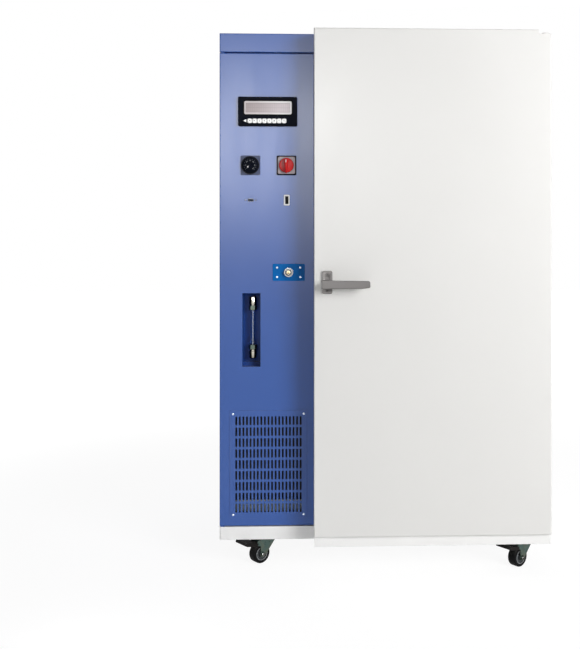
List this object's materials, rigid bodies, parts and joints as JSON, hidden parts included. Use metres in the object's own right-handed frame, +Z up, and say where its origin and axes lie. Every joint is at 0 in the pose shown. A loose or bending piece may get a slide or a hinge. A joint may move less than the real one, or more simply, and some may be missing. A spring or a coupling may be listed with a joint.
{
  "type": "environmental test chamber",
  "caption": "Floor-standing environmental test chamber: large insulated hinged door, blue control column with gauge, lock and slotted grille, on swivel casters with foot brakes.",
  "frame": {"origin": "on the floor, under the middle of the object's bounding box", "axes": "+Z up; the door and the controls face -Y; +X is to the right as the door is faced"},
  "size_m": [1.076, 0.93, 1.75],
  "materials": {
    "white_paint": "satin",
    "blue_paint": "satin",
    "recess_paint": "satin",
    "stainless": "satin",
    "bare_steel": "satin",
    "satin_metal": "satin",
    "zinc_plate": "satin",
    "coil_metal": "satin",
    "copper": "satin",
    "bush_metal": "satin",
    "foam": "matte",
    "gasket_rubber": "matte",
    "black_plastic": "satin",
    "grey_plastic": "satin",
    "white_plastic": "satin",
    "red_plastic": "satin",
    "screen_glass": "gloss",
    "gauge_glass": "gloss",
    "bright_blue_paint": "gloss",
    "chrome": "polished",
    "black_enamel": "satin",
    "dark_rubber": "matte",
    "tank_plastic": "satin",
    "panel_board": "satin"
  },
  "bodies": {
    "cabinet": {"base_tray": "white_paint", "column_shell": "blue_paint", "block_shell": "white_paint", "rear_panels": "white_paint", "fascia": "blue_paint", "front_frame": "white_paint", "inner_liner": "stainless", "insulation": "foam", "door_hinges": "bare_steel", "shelf_supports": "stainless", "wire_shelves": "stainless", "duct_panel": "stainless", "circulation_motor": "black_enamel", "evaporator": "coil_metal", "sensor_probe": "bare_steel", "panel_hinges": "bare_steel", "gauge_recess": "recess_paint", "gauge_tube": "gauge_glass", "gauge_fittings": "chrome", "compressor": "black_enamel", "condenser": "black_enamel", "fan_shroud": "black_enamel", "humidifier": "tank_plastic", "electrical_plate": "panel_board", "pipework": "copper", "rear_fittings": "bare_steel", "caster_plates": "zinc_plate"},
    "door": {"door_skin": "white_paint", "door_liner": "stainless", "door_foam": "foam", "door_gasket": "gasket_rubber", "door_bushes": "bush_metal", "handle_plate": "satin_metal"},
    "door_lever": {"handle_lever": "satin_metal", "latch_tongue": "bare_steel"},
    "service_door": {"service_panel": "blue_paint", "grille_panel": "blue_paint", "panel_screws": "bare_steel", "controller_case": "black_plastic", "controller_screen": "screen_glass", "controller_keys": "white_plastic", "dial_plate": "grey_plastic", "switch_plate": "black_plastic", "data_ports": "white_plastic", "lock_plate": "bright_blue_paint"},
    "limiter_dial": {"dial_knob": "black_plastic"},
    "main_switch": {"switch_knob": "red_plastic"},
    "panel_lock": {"lock_cylinder": "chrome"},
    "air_wheel": {"circulation_impeller": "bare_steel"},
    "condenser_rotor": {"condenser_fan": "grey_plastic"},
    "caster_front_left": {"fork_front_left": "zinc_plate"},
    "roller_front_left": {"wheel_front_left": "dark_rubber"},
    "caster_front_right": {"fork_front_right": "zinc_plate"},
    "roller_front_right": {"wheel_front_right": "dark_rubber"},
    "caster_rear_left": {"fork_rear_left": "zinc_plate"},
    "roller_rear_left": {"wheel_rear_left": "dark_rubber"},
    "caster_rear_right": {"fork_rear_right": "zinc_plate"},
    "roller_rear_right": {"wheel_rear_right": "dark_rubber"},
    "brake_front_left": {"pedal_front_left": "black_plastic"},
    "brake_front_right": {"pedal_front_right": "black_plastic"}
  },
  "joints": [
    {"name": "door_swing", "type": "hinge", "parent": "cabinet", "child": "door", "pos_m": [0.524, -0.379, 0.937], "axis": [0, 0, 1], "range_deg": [0, 110]},
    {"name": "handle_turn", "type": "hinge", "parent": "door", "child": "door_lever", "pos_m": [-0.183, -0.409, 0.933], "axis": [0, 1, 0], "range_deg": [0, 90]},
    {"name": "service_door_swing", "type": "hinge", "parent": "cabinet", "child": "service_door", "pos_m": [-0.529, -0.304, 0.91], "axis": [0, 0, -1], "range_deg": [0, 110]},
    {"name": "limiter_dial_turn", "type": "hinge", "parent": "service_door", "child": "limiter_dial", "pos_m": [-0.437, -0.317, 1.317], "axis": [0, 1, 0], "range_deg": [0, 270]},
    {"name": "main_switch_turn", "type": "hinge", "parent": "service_door", "child": "main_switch", "pos_m": [-0.319, -0.321, 1.317], "axis": [0, 1, 0], "range_deg": [0, 90]},
    {"name": "panel_lock_turn", "type": "hinge", "parent": "service_door", "child": "panel_lock", "pos_m": [-0.312, -0.316, 0.966], "axis": [0, -1, 0], "range_deg": [0, 90]},
    {"name": "air_wheel_spin", "type": "hinge", "parent": "cabinet", "child": "air_wheel", "pos_m": [0.156, 0.285, 1.45], "axis": [0, 1, 0], "continuous": true},
    {"name": "condenser_fan_spin", "type": "hinge", "parent": "cabinet", "child": "condenser_rotor", "pos_m": [-0.378, -0.193, 0.36], "axis": [0, 1, 0], "continuous": true},
    {"name": "front_left_swivel", "type": "hinge", "parent": "cabinet", "child": "caster_front_left", "pos_m": [-0.396, -0.257, 0.076], "axis": [0, 0, 1], "continuous": true},
    {"name": "front_left_roll", "type": "hinge", "parent": "caster_front_left", "child": "roller_front_left", "pos_m": [-0.41209, -0.2705, 0.032], "axis": [0.6428, -0.766, 0], "continuous": true},
    {"name": "front_right_swivel", "type": "hinge", "parent": "cabinet", "child": "caster_front_right", "pos_m": [0.456, -0.322, 0.076], "axis": [0, 0, 1], "continuous": true},
    {"name": "front_right_roll", "type": "hinge", "parent": "caster_front_right", "child": "roller_front_right", "pos_m": [0.43991, -0.3355, 0.032], "axis": [0.6428, -0.766, 0], "continuous": true},
    {"name": "rear_left_swivel", "type": "hinge", "parent": "cabinet", "child": "caster_rear_left", "pos_m": [-0.396, 0.384, 0.076], "axis": [0, 0, 1], "continuous": true},
    {"name": "rear_left_roll", "type": "hinge", "parent": "caster_rear_left", "child": "roller_rear_left", "pos_m": [-0.41209, 0.3705, 0.032], "axis": [0.6428, -0.766, 0], "continuous": true},
    {"name": "rear_right_swivel", "type": "hinge", "parent": "cabinet", "child": "caster_rear_right", "pos_m": [0.456, 0.384, 0.076], "axis": [0, 0, 1], "continuous": true},
    {"name": "rear_right_roll", "type": "hinge", "parent": "caster_rear_right", "child": "roller_rear_right", "pos_m": [0.43991, 0.3705, 0.032], "axis": [0.6428, -0.766, 0], "continuous": true},
    {"name": "front_left_brake", "type": "hinge", "parent": "caster_front_left", "child": "brake_front_left", "pos_m": [-0.42358, -0.28014, 0.068], "axis": [0.6428, -0.766, 0], "range_deg": [0, 15]},
    {"name": "front_right_brake", "type": "hinge", "parent": "caster_front_right", "child": "brake_front_right", "pos_m": [0.42842, -0.34514, 0.068], "axis": [0.6428, -0.766, 0], "range_deg": [0, 15]}
  ]
}
